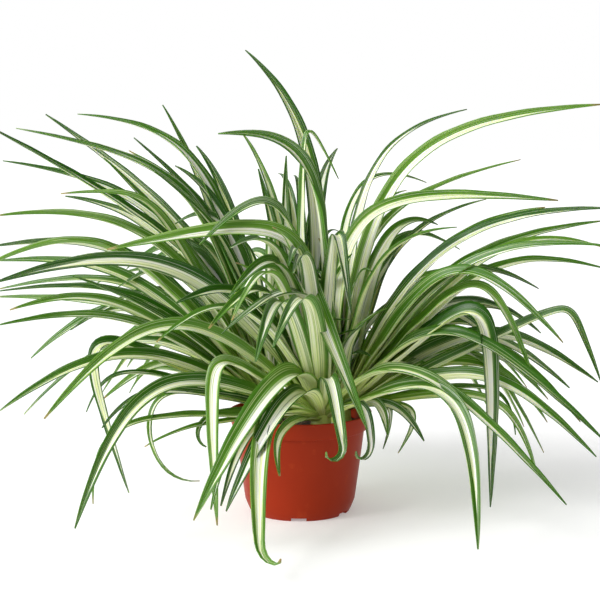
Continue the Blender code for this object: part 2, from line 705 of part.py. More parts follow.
def main():
    """Build the plant in an empty scene."""
    for item in list(bpy.data.objects):
        bpy.data.objects.remove(item, do_unlink=True)
    parts = collection_named("potted_spider_plant")
    add_pot(parts, collection_named("pot_cutters"))
    add_soil(parts, collection_named("soil_cutters"))
    for crown in CROWNS:
        add_crown(crown, parts)


if __name__ == "__main__":
    main()
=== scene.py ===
"""The finish of a potted spider plant: striped leaves, crowns, soil and a plastic pot."""

import math
import random
from typing import NamedTuple

import bmesh
import bpy
import numpy as np
from mathutils import Matrix, Vector, noise


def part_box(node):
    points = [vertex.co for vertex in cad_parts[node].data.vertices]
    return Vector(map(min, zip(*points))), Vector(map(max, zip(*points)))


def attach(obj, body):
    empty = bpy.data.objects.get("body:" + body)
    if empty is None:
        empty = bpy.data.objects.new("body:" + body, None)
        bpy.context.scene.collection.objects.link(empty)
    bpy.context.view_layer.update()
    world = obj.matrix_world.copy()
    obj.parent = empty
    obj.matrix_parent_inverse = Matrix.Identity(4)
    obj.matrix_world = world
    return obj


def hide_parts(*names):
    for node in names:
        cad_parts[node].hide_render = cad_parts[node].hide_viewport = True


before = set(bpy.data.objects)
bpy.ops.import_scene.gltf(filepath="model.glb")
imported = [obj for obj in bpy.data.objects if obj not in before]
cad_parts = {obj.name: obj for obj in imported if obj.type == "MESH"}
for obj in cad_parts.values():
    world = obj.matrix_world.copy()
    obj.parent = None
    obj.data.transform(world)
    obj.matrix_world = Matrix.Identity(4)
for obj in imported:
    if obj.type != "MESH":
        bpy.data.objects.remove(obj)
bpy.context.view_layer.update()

# Driving sizes, taken from the frame
POT_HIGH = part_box("pot")[1]
SOIL_LOW, SOIL_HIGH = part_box("soil")
POT_HEIGHT = POT_HIGH[2]
RIM_RADIUS = POT_HIGH[0]
SOIL_BOTTOM = SOIL_LOW[2]
SOIL_RADIUS = SOIL_HIGH[0]

# Pot: its wall follows these radii and heights
RIM_ROUND = 0.0008
RIM_ARC_POINTS = 9
COLLAR_BOTTOM = 0.0890
COLLAR_BOTTOM_RADIUS = 0.0716
COLLAR_ARC_END = -80
COLLAR_ARC_POINTS = 5
BODY_TOP_RADIUS = 0.0686
BODY_MIDDLE = (0.0643, 0.055)
BODY_LOW = (0.0596, 0.020)
BASE_CORNER = (0.0560, 0.0065)
WALL = 0.0019
FLOOR_TOP = 0.0060
FLOOR_CORNER = 0.0057
FLOOR_RISE = 0.0048
FOOT_OUTER = 0.0525
FOOT_INNER = 0.0465
FOOT_HEIGHT = 0.0035
BOSS_RADIUS = 0.018
POT_STEPS = 160
SHARP_ANGLE = 35
MERGE_DISTANCE = 0.000005
SLOT_COUNT = 6
SLOT_WIDTH = 0.016
SLOT_LENGTH = 0.030
SLOT_TURN = -91.5
DRAIN_RADIUS = 0.0045
DRAIN_RING = 0.036
DRAIN_SIDES = 24

# Soil: its top is lumpy, with a finer grit
GAP = 0.0003
SOIL_TOP = 0.090
SOIL_INSET = 0.0006
SOIL_RINGS = 36
SOIL_STEPS = 128
SOIL_LIFT = 0.001
LUMP_SCALE = 60.0
LUMP_EASE = 1.0
LUMP_LAYERS = 4
LUMP_HEIGHT = 0.0022
GRIT_SCALE = 400.0
GRIT_EASE = 0.6
GRIT_LAYERS = 2
GRIT_HEIGHT = 0.0007
GRIT_PLACE = (7.0, 3.0, 0.0)
LAYER_STEP = 2.0

# Crumbs on the soil: each size is a range
CRUMBS = 420
CRUMB_SEED = 5
CRUMB_RING = 0.066
CRUMB_SIZE = (0.0008, 0.0026)
CRUMB_SQUASH = ((0.7, 1.5), (0.5, 1.0), (0.4, 0.8))
CRUMBS_PER_PERLITE = 9

# Crowns, with the stripe, tone and seed of their bases
CROWN_RADIUS = 0.0125
CROWN_TOP_RADIUS = 0.0095
CROWN_SIDES = 24
CROWN_KIND = (1.0, 0.5, 0.5)
ROOT_HEIGHT = 0.103
ROOT_SPREAD = 0.002

# Leaves: the same midribs as the frame's, with a fuller and finer blade
PATH_STEPS = 42
FINE_STEPS = 210
EVENNESS = 0.6
ACROSS = 8
BLADE = 0.0007
TIP_WIDTH = 0.0008
BASE_WIDTH = 0.0095
WIDEST_AT = 0.36
TAPER = 2.8
TAPER_EASE = 0.9
COIL_EASE = 1.5
CHANNEL_BASE = 0.85
CHANNEL_TIP = 0.62
CHANNEL_CURVE = 1.4
ROLL_RANGE = 14
TWIST_RANGE = 24
WAVE = 0.0006
WAVE_LENGTH = 0.05
WAVE_CURVE = 3
STRIPE_SHIFT = 0.32
STRIPE_SLANT = 0.4

# Blades turn their upper faces to the light, from a part of the way along
LIGHT = np.array((-0.20, -0.86, 0.47))
LIGHT_TURN = (0.38, 0.68)
TURNED_BY = 0.35
LEAST_WILLING = 2.6
SLANT = 0.8

# Grown leaves: each size runs from its low value by its change over the rise, with a spread
REACH = (0.27, -0.19, 0.03)
TIP_HEIGHT = (0.05, 0.32, 0.03)
SHOULDER_HEIGHT = (0.19, 0.16, 0.02)
SHOULDER_SHARE = (0.6, -0.25)
SHOULDER_TURN = 0.15
GROWN_WIDTH = (0.014, 0.024)
GROWN_BEND = (1.3, 2.2)

# Leaves that the frame leaves out: more grown ones, and young ones in the heart of each crown
EXTRA_LEAVES = 8
HEART_LEAVES = 14
HEART_SEED = 100
HEART_REACH = (0.03, 0.11)
HEART_HEIGHT = (0.19, 0.34)
HEART_FALL = 0.4
HEART_LEAN = (0.15, 0.45)
HEART_DROP = (-0.02, 0.04)
HEART_WIDTH = (0.010, 0.017)
HEART_BEND = (1.0, 1.8)
HEART_TURN = (0.0, 0.5)

# Leaf stripes and tone: a value times the first number, plus the second
STRIPE_PLACE = (0.20, -0.10)
STRIPE_HALF = (0.34, 0.475)
STRIPE_TAPER = (-0.68, 1.22)
STRIPE_JITTER = (0.5, -0.25)
LEAF_TONE = (0.9, -0.30)

# Veins: how far apart the noises of two leaves lie, and the noises' scales
NOISE_APART = 90.0
VEIN_RUN = 5.0
BAND_SCALE = 5.0
LINE_SCALE = 17.0
MOTTLE_RUN = 14.0

# Stripes and lines: where each begins and ends, and its strength
STRIPE_END = (0.72, 1.0)
STRIPE_CLOSING = 0.5
STRIPE_EDGE = (-0.04, 0.04)
GREEN_LINES = (0.57, 0.63)
GREEN_LINE_DEPTH = 0.7
PALE_LINES = (0.42, 0.35)
PALE_LINE_DEPTH = 0.4

# Leaf colours: where each comes in, and its strength
MOTTLE_DEPTH = 0.5
BY_STRIPE = (0.30, 0.0)
BY_STRIPE_LIGHTER = 0.30
# Painted glow of light through the leaves near the base: how much lighter the green gets
PAINTED_GLOW_LIGHTER = 0.35
DARK_TO_GREEN = (0.0, 0.55)
GREEN_TO_LIGHT = (0.55, 1.0)
CREAM_TO_LIME = (0.38, 0.66)
# Painted glow of light through the leaves near the base: where it comes in, and how far it tints
# the cream to lime
PAINTED_GLOW_RANGES = ((0.25, 0.03), (0.60, 0.08))
PAINTED_GLOW_TINT = 0.6
YOUNG = ((0.14, 0.02), (0.36, 0.05))
YOUNG_TINT = 0.5
DRY_TIP = (0.965, 0.99)
DRY_LEAVES = (0.7, 0.8)

# Leaf surface
UPPER_ROUGHNESS = 0.33
UNDER_ROUGHNESS = 0.5
LEAF_GLOSS = 0.22
LEAF_SOFTNESS = 0.45
LEAF_SOFT_RADIUS = (0.8, 1.0, 0.3)
LEAF_SOFT_SCALE = 0.003

# Pot surface
POT_ROUGHNESS = 0.36
POT_GLOSS = 0.1
CLOUD_ROUGHER = 0.1
SCUFFS = (0.62, 0.72)
SCUFF_TINT = 0.25
SCUFF_ROUGHER = 0.12

# Sockets of a Mix node that are for colours
MIX_FACTOR = 0
MIX_FIRST = 6
MIX_SECOND = 7
MIX_RESULT = 2

# Studio
FLOOR_SIZE = 20.0
FLOOR_SHADE = 0.74
FLOOR_ROUGHNESS = 0.9
FLOOR_GLOW = 0.30
KEY_FROM = (-0.80, -0.50, 0.62)
KEY_ANGLE = 34
KEY_POWER = 3.0
SKY_LIGHT = 0.68
SKY_SLOPE = 0.62
CAMERA_PLACE = (0.0, -1.5, 0.41)
CAMERA_AIM = (0.0, 0.0, 0.225)
CAMERA_LENS = 86.0

# Room that a leaf leaves to a neighbouring crown's leaves, to the pot and to the table
SECTOR_ROOM = 0.0012
POT_ROOM = 0.0022
TABLE_ROOM = 0.0012
ROOM_PER_WIDTH = 0.35
PUSH_REACH = 0.22
ROOT_HELD = 0.08
PUSH_ROUNDS = 3


class Leaf(NamedTuple):
    """One leaf: its tip, the shoulder that it bends over at, and its greatest width.

    The last part may roll up, by the curl in degrees over the coil's share of the leaf. A hook
    turns that roll to the side.
    """

    tip: tuple
    shoulder: tuple
    width: float
    bend: float = 1.8
    curl: float = 0.0
    coil: float = 0.2
    hook: float = 0.0


class Growth(NamedTuple):
    """The leaves that a rule adds to a crown: how many, where they head and how they rise."""

    count: int
    bearings: tuple
    rises: tuple
    seed: int


class Crown(NamedTuple):
    """One crown: where it stands and the sector round the pot that its leaves keep to."""

    name: str
    place: tuple
    sector: tuple
    growth: Growth


SECTOR_CENTRE = (0.006, 0.0)
CROWNS = (
    Crown("plant_front", (0.022, -0.034), (-155, -25), Growth(3, (-150, -95), (0.45, 0.8), 23)),
    Crown("plant_right", (0.044, 0.012), (-25, 55), Growth(11, (4, 50), (0.0, 1.0), 37)),
    Crown("plant_back", (0.006, 0.042), (55, 125), Growth(18, (58, 122), (0.0, 1.0), 41)),
    Crown("plant_left", (-0.030, 0.012), (125, 205), Growth(9, (130, 176), (0.0, 1.0), 11)),
)

ARRANGED = {
    "plant_left": (
        Leaf((-0.24, 0.06, 0.42), (-0.095, 0.03, 0.405), 0.025, 2.0),
        Leaf((-0.15, 0.08, 0.43), (-0.09, 0.05, 0.33), 0.0145, 1.0),
        Leaf((-0.175, 0.02, 0.395), (-0.065, 0.02, 0.295), 0.016, 2.0),
        Leaf((-0.19, 0.10, 0.38), (-0.075, 0.06, 0.315), 0.016, 2.0),
        Leaf((-0.155, -0.02, 0.365), (-0.065, -0.01, 0.295), 0.0145, 2.0),
        Leaf((-0.295, 0.00, 0.405), (-0.105, 0.005, 0.365), 0.023, 2.5),
        Leaf((-0.285, 0.12, 0.42), (-0.085, 0.05, 0.29), 0.0145, 1.5),
        Leaf((-0.20, -0.03, 0.375), (-0.08, 0.00, 0.25), 0.0145, 1.2),
        Leaf((-0.325, -0.02, 0.41), (-0.09, 0.00, 0.275), 0.021, 2.0),
        Leaf((-0.32, 0.05, 0.37), (-0.14, 0.03, 0.34), 0.0195, 2.0),
        Leaf((-0.24, -0.06, 0.34), (-0.15, -0.04, 0.345), 0.016, 4.0),
        Leaf((-0.26, 0.09, 0.33), (-0.14, 0.06, 0.315), 0.016, 1.6),
        Leaf((-0.30, -0.10, 0.32), (-0.135, -0.06, 0.335), 0.021, 1.6),
        Leaf((-0.32, -0.125, 0.265), (-0.19, -0.08, 0.33), 0.026, 2.0),
        Leaf((-0.33, 0.02, 0.28), (-0.17, 0.02, 0.30), 0.0175, 2.0),
        Leaf((-0.335, 0.07, 0.26), (-0.18, 0.04, 0.27), 0.0175, 2.0),
        Leaf((-0.34, 0.10, 0.225), (-0.17, 0.06, 0.26), 0.016, 2.0),
        Leaf((-0.31, -0.05, 0.24), (-0.16, -0.03, 0.255), 0.016, 2.0),
        Leaf((-0.29, -0.08, 0.225), (-0.19, -0.05, 0.255), 0.0175, 1.8),
        Leaf((-0.33, 0.03, 0.225), (-0.15, 0.02, 0.225), 0.0145, 2.0),
        Leaf((-0.225, -0.09, 0.26), (-0.12, -0.05, 0.215), 0.0175, 1.3),
        Leaf((-0.295, -0.12, 0.215), (-0.165, -0.075, 0.235), 0.0195, 1.8),
        Leaf((-0.295, -0.12, 0.13), (-0.17, -0.075, 0.215), 0.0195, 1.5),
        Leaf((-0.175, -0.07, 0.035), (-0.225, -0.07, 0.215), 0.0195, 4.0),
        Leaf((-0.22, -0.05, 0.115), (-0.195, -0.045, 0.175), 0.0145, 2.0),
        Leaf((-0.205, -0.03, 0.125), (-0.13, -0.02, 0.19), 0.016, 1.5),
        Leaf((-0.185, 0.03, 0.12), (-0.16, 0.02, 0.165), 0.0145, 2.0),
        Leaf((-0.115, 0.10, 0.385), (-0.065, 0.065, 0.33), 0.0175, 1.3),
    ),
    "plant_front": (
        Leaf((-0.29, -0.15, 0.26), (-0.105, -0.085, 0.315), 0.023, 1.5),
        Leaf((-0.24, -0.18, 0.135), (-0.125, -0.10, 0.27), 0.0175, 1.6),
        Leaf((-0.19, -0.15, 0.12), (-0.155, -0.115, 0.165), 0.0135, 2.0),
        Leaf((-0.21, -0.20, 0.035), (-0.155, -0.13, 0.205), 0.019, 1.7),
        Leaf((-0.135, -0.12, 0.03), (-0.165, -0.11, 0.17), 0.012, 2.5, 80, 0.3),
        Leaf((-0.155, -0.10, 0.09), (-0.105, -0.09, 0.118), 0.0095, 1.5),
        Leaf((-0.11, -0.09, 0.085), (-0.10, -0.08, 0.13), 0.011, 2.0, 80),
        Leaf((-0.20, -0.15, 0.045), (-0.20, -0.14, 0.14), 0.011, 2.0),
        Leaf((-0.08, -0.155, 0.025), (-0.087, -0.135, 0.20), 0.0175, 5.0),
        Leaf((-0.10, -0.19, 0.04), (0.0, -0.10, 0.225), 0.0255, 1.3),
        Leaf((-0.07, -0.18, 0.046), (0.004, -0.125, 0.195), 0.0235, 1.2),
        Leaf((-0.085, -0.17, 0.045), (-0.06, -0.12, 0.15), 0.011, 1.5),
        Leaf((-0.075, -0.175, 0.05), (-0.05, -0.11, 0.14), 0.011, 1.5),
        Leaf((-0.034, -0.276, -0.006), (-0.049, -0.12, 0.15), 0.0195, 1.8, -150, 0.2, 90),
        Leaf((-0.035, -0.20, 0.03), (-0.045, -0.125, 0.16), 0.0175, 1.6),
        Leaf((-0.02, -0.12, 0.065), (-0.03, -0.115, 0.12), 0.011, 1.5),
        Leaf((0.047, -0.125, 0.062), (0.029, -0.105, 0.19), 0.016, 2.2, 190, 0.2, 90),
        Leaf((0.073, -0.10, 0.055), (0.070, -0.085, 0.15), 0.011, 2.0, 170, 0.3, 90),
        Leaf((-0.097, -0.12, 0.294), (-0.005, -0.08, 0.385), 0.0205, 1.8),
        Leaf((-0.075, -0.14, 0.21), (0.02, -0.10, 0.285), 0.023, 1.7),
        Leaf((-0.072, -0.13, 0.22), (-0.02, -0.10, 0.32), 0.0195, 1.8, 20),
        Leaf((0.066, -0.12, 0.112), (-0.019, -0.075, 0.324), 0.024, 3.0),
        Leaf((0.05, -0.105, 0.225), (0.036, -0.08, 0.33), 0.0175, 4.0),
        Leaf((0.003, -0.075, 0.225), (0.015, -0.06, 0.17), 0.016, 1.0),
        Leaf((-0.015, -0.085, 0.225), (0.0, -0.06, 0.16), 0.0135, 1.0),
        Leaf((-0.08, -0.06, 0.29), (-0.06, -0.05, 0.23), 0.019, 1.0),
        Leaf((-0.185, -0.13, 0.29), (0.01, -0.09, 0.325), 0.026, 3.0),
        Leaf((-0.08, -0.09, 0.40), (0.03, -0.06, 0.405), 0.026, 2.0),
        Leaf((0.25, -0.19, 0.055), (0.095, -0.12, 0.22), 0.019, 1.6),
        Leaf((0.165, -0.21, 0.018), (0.165, -0.15, 0.20), 0.019, 1.8),
    ),
    "plant_right": (
        Leaf((0.18, 0.06, 0.425), (0.055, 0.04, 0.395), 0.0145, 1.8),
        Leaf((0.32, 0.03, 0.43), (0.07, 0.02, 0.41), 0.018, 1.8),
        Leaf((0.14, 0.09, 0.345), (0.035, 0.04, 0.385), 0.013, 1.6),
        Leaf((0.245, 0.10, 0.37), (0.055, 0.05, 0.325), 0.0165, 1.8),
        Leaf((0.27, 0.00, 0.33), (0.03, 0.00, 0.35), 0.0185, 2.2),
        Leaf((0.21, 0.12, 0.325), (0.075, 0.055, 0.295), 0.013, 1.3),
        Leaf((0.16, -0.04, 0.305), (0.065, -0.015, 0.295), 0.017, 1.5),
        Leaf((0.315, -0.05, 0.325), (0.125, -0.02, 0.32), 0.0185, 1.4),
        Leaf((0.265, 0.05, 0.32), (0.135, 0.03, 0.30), 0.0155, 1.5),
        Leaf((0.345, 0.13, 0.30), (0.155, 0.06, 0.28), 0.0155, 1.6),
        Leaf((0.305, -0.09, 0.29), (0.155, -0.05, 0.30), 0.0185, 1.6),
        Leaf((0.34, 0.08, 0.25), (0.20, 0.05, 0.285), 0.0155, 1.8),
        Leaf((0.32, 0.02, 0.28), (0.20, 0.01, 0.315), 0.013, 1.5),
        Leaf((0.26, -0.10, 0.195), (0.15, -0.05, 0.31), 0.022, 2.0),
        Leaf((0.235, -0.08, 0.155), (0.185, -0.05, 0.29), 0.017, 2.5),
        Leaf((0.185, 0.05, 0.235), (0.10, 0.03, 0.235), 0.014, 1.5),
        Leaf((0.305, -0.07, 0.15), (0.275, -0.05, 0.23), 0.017, 9.0),
        Leaf((0.195, -0.07, 0.02), (0.192, -0.06, 0.255), 0.026, 4.0),
        Leaf((0.30, -0.12, 0.10), (0.14, -0.06, 0.245), 0.020, 2.0),
        Leaf((0.325, 0.04, 0.13), (0.20, 0.03, 0.215), 0.022, 2.0),
        Leaf((0.30, -0.08, 0.075), (0.19, -0.05, 0.18), 0.021, 2.0),
        Leaf((0.245, -0.05, 0.05), (0.215, -0.04, 0.15), 0.013, 2.0),
        Leaf((0.23, 0.00, 0.08), (0.22, 0.00, 0.15), 0.011, 2.0),
        Leaf((0.13, -0.03, 0.08), (0.10, -0.02, 0.13), 0.013, 1.5),
        Leaf((0.105, 0.00, 0.06), (0.135, 0.00, 0.12), 0.013, 2.0),
        Leaf((0.09, 0.02, 0.06), (0.105, 0.015, 0.12), 0.011, 2.0),
        Leaf((0.092, -0.03, 0.085), (0.085, -0.025, 0.13), 0.013, 2.0),
    ),
    "plant_back": (
        Leaf((-0.06, 0.10, 0.49), (0.035, 0.065, 0.40), 0.023, 1.5),
        Leaf((0.042, 0.065, 0.35), (0.003, 0.05, 0.425), 0.016, 5.0),
        Leaf((-0.065, 0.11, 0.40), (-0.01, 0.08, 0.33), 0.0125, 1.0),
        Leaf((-0.046, 0.09, 0.36), (-0.02, 0.06, 0.27), 0.016, 1.0),
        Leaf((-0.015, 0.07, 0.375), (-0.02, 0.06, 0.28), 0.0145, 1.0),
    ),
}


def unit(vector):
    """Return the vector at length one."""
    return vector / np.linalg.norm(vector)


def smooth(x):
    """Rise smoothly from 0 at 0 to 1 at 1."""
    x = np.clip(x, 0.0, 1.0)
    return x * x * (3.0 - 2.0 * x)


def leaf_root(leaf, crown):
    """Return the point inside the crown that a leaf grows from."""
    place = np.array(crown.place)
    outward = unit(np.array(leaf.shoulder[:2]) - place)
    x, y = place + ROOT_SPREAD * outward
    return np.array((x, y, ROOT_HEIGHT))


def conic(root, shoulder, tip, bend):
    """Return points along the arch whose end tangents meet at the shoulder."""
    t = np.linspace(0.0, 1.0, FINE_STEPS + 1)[:, None]
    start = (1.0 - t) ** 2
    middle = 2.0 * bend * t * (1.0 - t)
    end = t ** 2
    return (start * root + middle * shoulder + end * tip) / (start + middle + end)


def along(points):
    """Return how far along the leaf each point lies, from 0 to 1."""
    steps = np.linalg.norm(np.diff(points, axis=0), axis=1)
    return np.minimum(np.concatenate(((0.0,), np.cumsum(steps))) / steps.sum(), 1.0)


def spaced(points):
    """Pick a leaf's points from a fine row of them, closer together where it bends."""
    even = np.linspace(0.0, 1.0, len(points))
    measure = EVENNESS * along(points) + (1.0 - EVENNESS) * even
    wanted = np.linspace(0.0, 1.0, PATH_STEPS + 1)
    return np.stack([np.interp(wanted, measure, column) for column in points.T], axis=1)


def turned(vector, axis, angle):
    """Turn a vector about a unit axis by an angle in radians."""
    return (
        vector * math.cos(angle)
        + np.cross(axis, vector) * math.sin(angle)
        + axis * np.dot(axis, vector) * (1.0 - math.cos(angle))
    )


def curled(points, curl, coil, hook):
    """Roll up the last part of a leaf, inwards for a positive curl in degrees."""
    if not curl:
        return points
    steps = np.diff(points, axis=0)
    chord = points[-1] - points[0]
    axis = unit(np.cross((chord[0], chord[1], 0.0), (0.0, 0.0, -1.0)))
    axis = turned(axis, np.array((0.0, 0.0, 1.0)), math.radians(hook))
    place = along(points)
    result = [points[0]]
    for step, where in zip(steps, place[1:]):
        angle = math.radians(curl) * max(0.0, (where - 1.0 + coil) / coil) ** COIL_EASE
        result.append(result[-1] + turned(step, axis, angle))
    return np.array(result)


def blade_width(where, width):
    """Return the blade's width at each place along it: a narrow base and a long taper."""
    swell = BASE_WIDTH + (width - BASE_WIDTH) * smooth(where / WIDEST_AT)
    taper = (1.0 - where ** TAPER) ** TAPER_EASE
    return TIP_WIDTH + (swell - TIP_WIDTH) * taper


def pushed(points, where, shortfall, direction):
    """Bend a leaf by the shortfall in its room, easing off along it and held at the root."""
    if not shortfall.any():
        return points
    spread = np.abs(where[:, None] - where[None, :]) / PUSH_REACH
    bell = np.clip(1.0 - spread ** 2, 0.0, 1.0) ** 2
    amount = (bell * shortfall[None, :]).max(axis=1) * smooth(where / ROOT_HELD)
    return points + amount[:, None] * direction


def clear_of_sector(points, where, width, crown):
    """Bend a leaf back into its crown's own sector."""
    first, last = (math.radians(angle) for angle in crown.sector)
    inward = (
        np.array((-math.sin(first), math.cos(first), 0.0)),
        np.array((math.sin(last), -math.cos(last), 0.0)),
    )
    centre = np.array((*SECTOR_CENTRE, 0.0))
    for normal in inward:
        room = SECTOR_ROOM + width / 2.0
        shortfall = np.maximum(0.0, room - (points - centre) @ normal)
        points = pushed(points, where, shortfall, normal)
    return points


def clear_of_pot(points, where, width):
    """Lift a leaf over the rim and hold it off the outside of the pot."""
    room = POT_ROOM + ROOM_PER_WIDTH * width / 2.0
    radius = np.hypot(points[:, 0], points[:, 1])
    low = points[:, 2] < POT_HEIGHT + room
    inside = radius < RIM_RADIUS
    over = low & inside & (radius > COLLAR_BOTTOM_RADIUS - 2.0 * room)
    lift = np.where(over, POT_HEIGHT + room - points[:, 2], 0.0)
    points = pushed(points, where, lift, np.array((0.0, 0.0, 1.0)))
    radius = np.hypot(points[:, 0], points[:, 1])
    beside = (points[:, 2] < POT_HEIGHT + room) & ~inside
    shift = np.where(beside, np.maximum(0.0, RIM_RADIUS + room - radius), 0.0)
    outward = points * (1.0, 1.0, 0.0)
    outward = outward / np.maximum(radius, CROWN_RADIUS)[:, None]
    return pushed(points, where, shift, outward)


def clear_of_table(points, where, width):
    """Lay a leaf on the table where it would hang below it."""
    room = TABLE_ROOM + ROOM_PER_WIDTH * width / 2.0
    lift = np.maximum(0.0, room - points[:, 2])
    return points + lift[:, None] * np.array((0.0, 0.0, 1.0))


def leaf_path(leaf, crown, own_sector=True):
    """Return the points of a leaf's midrib, with its place along it and width at each."""
    root = leaf_root(leaf, crown)
    points = conic(root, np.array(leaf.shoulder), np.array(leaf.tip), leaf.bend)
    points = spaced(curled(points, leaf.curl, leaf.coil, leaf.hook))
    where = along(points)
    width = blade_width(where, leaf.width)
    for _ in range(PUSH_ROUNDS):
        points = clear_of_pot(points, where, width)
        if own_sector:
            points = clear_of_sector(points, where, width, crown)
        points = clear_of_table(points, where, width)
    return points, where, width


def light_turn(tangent, side, place, turn):
    """Return the angle by which a blade turns its upper face towards the light."""
    face = np.cross(tangent, side)
    lit = LIGHT - np.dot(LIGHT, tangent) * tangent
    angle = math.atan2(np.dot(np.cross(face, lit), tangent), np.dot(face, lit))
    willing = smooth(LEAST_WILLING - abs(angle)) * smooth(np.linalg.norm(lit) / SLANT)
    return turn * angle * willing * smooth(place / TURNED_BY)


def leaf_frames(points, where, turn, twist):
    """Return the side and the upper face's direction at each point of a midrib."""
    tangents = np.gradient(points, axis=0)
    outward = points[-1] - points[0]
    across = np.array((-outward[1], outward[0], 0.0))
    sides = []
    faces = []
    for tangent, place, more in zip(tangents, where, twist):
        tangent = unit(tangent)
        side = unit(across - np.dot(across, tangent) * tangent)
        angle = light_turn(tangent, side, place, turn) + math.radians(more)
        side = turned(side, tangent, angle)
        sides.append(side)
        faces.append(np.cross(tangent, side))
    return np.array(sides), np.array(faces)


def grown_leaf(crown, rng):
    """Return a leaf of the crown's fountain: the more upright, the shorter its reach."""
    growth = crown.growth
    bearing = math.radians(rng.uniform(*growth.bearings))
    rise = rng.uniform(*growth.rises)
    reach = REACH[0] + REACH[1] * rise ** 2 + rng.uniform(-REACH[2], REACH[2])
    tip_height = TIP_HEIGHT[0] + TIP_HEIGHT[1] * rise + rng.uniform(-TIP_HEIGHT[2], TIP_HEIGHT[2])
    share = SHOULDER_SHARE[0] + SHOULDER_SHARE[1] * rise
    low, change, spread = SHOULDER_HEIGHT
    shoulder_height = low + change * rise + rng.uniform(-spread, spread)
    turn = rng.uniform(-SHOULDER_TURN, SHOULDER_TURN)
    tip = (
        crown.place[0] + reach * math.cos(bearing),
        crown.place[1] + reach * math.sin(bearing),
        tip_height,
    )
    shoulder = (
        crown.place[0] + share * reach * math.cos(bearing + turn),
        crown.place[1] + share * reach * math.sin(bearing + turn),
        shoulder_height,
    )
    return Leaf(tip, shoulder, rng.uniform(*GROWN_WIDTH), rng.uniform(*GROWN_BEND))


def crown_leaves(crown):
    """Return every leaf of a crown, with its turn to the light and its roll in degrees."""
    rng = random.Random(crown.growth.seed)
    leaves = list(ARRANGED[crown.name])
    leaves += [grown_leaf(crown, rng) for _ in range(crown.growth.count)]
    return [
        (leaf, rng.uniform(*LIGHT_TURN), rng.uniform(-ROLL_RANGE, ROLL_RANGE)) for leaf in leaves
    ]


def linear(colour):
    """Turn an sRGB colour in 0 to 255 steps into the shader's linear values."""
    parts = [value / 255.0 for value in colour]
    return (*[p / 12.92 if p < 0.04 else ((p + 0.055) / 1.055) ** 2.4 for p in parts], 1.0)


UPPER_COLOURS = {
    "dark": linear((32, 74, 8)),
    "green": linear((58, 103, 18)),
    "light": linear((95, 136, 42)),
    "cream": linear((236, 238, 225)),
    "lime": linear((219, 227, 170)),
    "base": linear((190, 212, 88)),
    "dry": linear((140, 126, 80)),
}
UNDER_COLOURS = {
    "dark": linear((54, 96, 26)),
    "green": linear((80, 126, 40)),
    "light": linear((116, 156, 62)),
    "cream": linear((235, 238, 215)),
    "lime": linear((212, 223, 158)),
    "base": linear((198, 216, 108)),
    "dry": linear((146, 126, 86)),
}
POT_COLOURS = {
    "deep": linear((145, 40, 13)),
    "bright": linear((157, 47, 17)),
    "scuffed": linear((182, 70, 31)),
}


def heart_leaf(crown, rng):
    """Return a young leaf that stands in the middle of its crown."""
    bearing = rng.uniform(-math.pi, math.pi)
    reach = rng.uniform(*HEART_REACH)
    tip_height = rng.uniform(*HEART_HEIGHT) - HEART_FALL * reach
    lean = rng.uniform(*HEART_LEAN)
    tip = (
        crown.place[0] + reach * math.cos(bearing),
        crown.place[1] + reach * math.sin(bearing),
        tip_height,
    )
    shoulder = (
        crown.place[0] + lean * reach * math.cos(bearing),
        crown.place[1] + lean * reach * math.sin(bearing),
        tip_height - rng.uniform(*HEART_DROP),
    )
    return Leaf(tip, shoulder, rng.uniform(*HEART_WIDTH), rng.uniform(*HEART_BEND))


def blade_layers(bm):
    """Return new layers for what a leaf's finish reads at each point."""
    return {
        "blade": bm.verts.layers.float_vector.new("blade"),
        "kind": bm.verts.layers.float_vector.new("kind"),
    }


def add_blade(bm, layers, leaf, crown, turn, roll, rng, own_sector=True):
    """Lay one channelled blade along its midrib, with what its finish reads at each point."""
    points, where, width = leaf_path(leaf, crown, own_sector)
    length = np.linalg.norm(np.diff(points, axis=0), axis=1).sum()
    twist = rng.uniform(-TWIST_RANGE, TWIST_RANGE)
    sides, faces = leaf_frames(points, where, turn, roll + twist * where)
    channel = CHANNEL_TIP + (CHANNEL_BASE - CHANNEL_TIP) * (1.0 - where) ** 2
    phase = rng.uniform(0.0, 2.0 * math.pi)
    waves = length / WAVE_LENGTH
    ripple = WAVE * np.sin(phase + 2.0 * math.pi * waves * where) * width / leaf.width
    kind = (rng.random(), rng.random(), rng.random())
    shift = STRIPE_SHIFT * np.clip(-sides[:, 2] / STRIPE_SLANT, -1.0, 1.0)
    grid = bmesh.ops.create_grid(bm, x_segments=ACROSS, y_segments=PATH_STEPS, size=1.0)
    for vert in grid["verts"]:
        across = -vert.co.x
        ring = round((vert.co.y + 1.0) / 2.0 * PATH_STEPS)
        half = width[ring] / 2.0
        trough = half * channel[ring] * abs(across) ** CHANNEL_CURVE
        rise = trough + ripple[ring] * abs(across) ** WAVE_CURVE
        vert.co = points[ring] + across * half * sides[ring] + rise * faces[ring]
        vert[layers["blade"]] = (across - shift[ring], length * where[ring], where[ring])
        vert[layers["kind"]] = kind


def add_leaves(crown, upper, under):
    """Make all the leaves of one crown."""
    bm = bmesh.new()
    layers = blade_layers(bm)
    rng = random.Random(crown.growth.seed + HEART_SEED)
    for leaf, turn, roll in crown_leaves(crown):
        add_blade(bm, layers, leaf, crown, turn, roll, rng)
    for _ in range(EXTRA_LEAVES):
        turn = rng.uniform(*LIGHT_TURN)
        add_blade(bm, layers, grown_leaf(crown, rng), crown, turn, 0.0, rng)
    for _ in range(HEART_LEAVES):
        leaf = heart_leaf(crown, rng)
        turn = rng.uniform(*HEART_TURN)
        add_blade(bm, layers, leaf, crown, turn, 0.0, rng, own_sector=False)
    piece = new_piece(f"{crown.name}_leaves", bm, (upper, under))
    shell = piece.modifiers.new("blade thickness", "SOLIDIFY")
    shell.thickness = BLADE
    shell.offset = -1.0
    shell.material_offset = 1
    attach(piece, "root")
    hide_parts(crown.name)


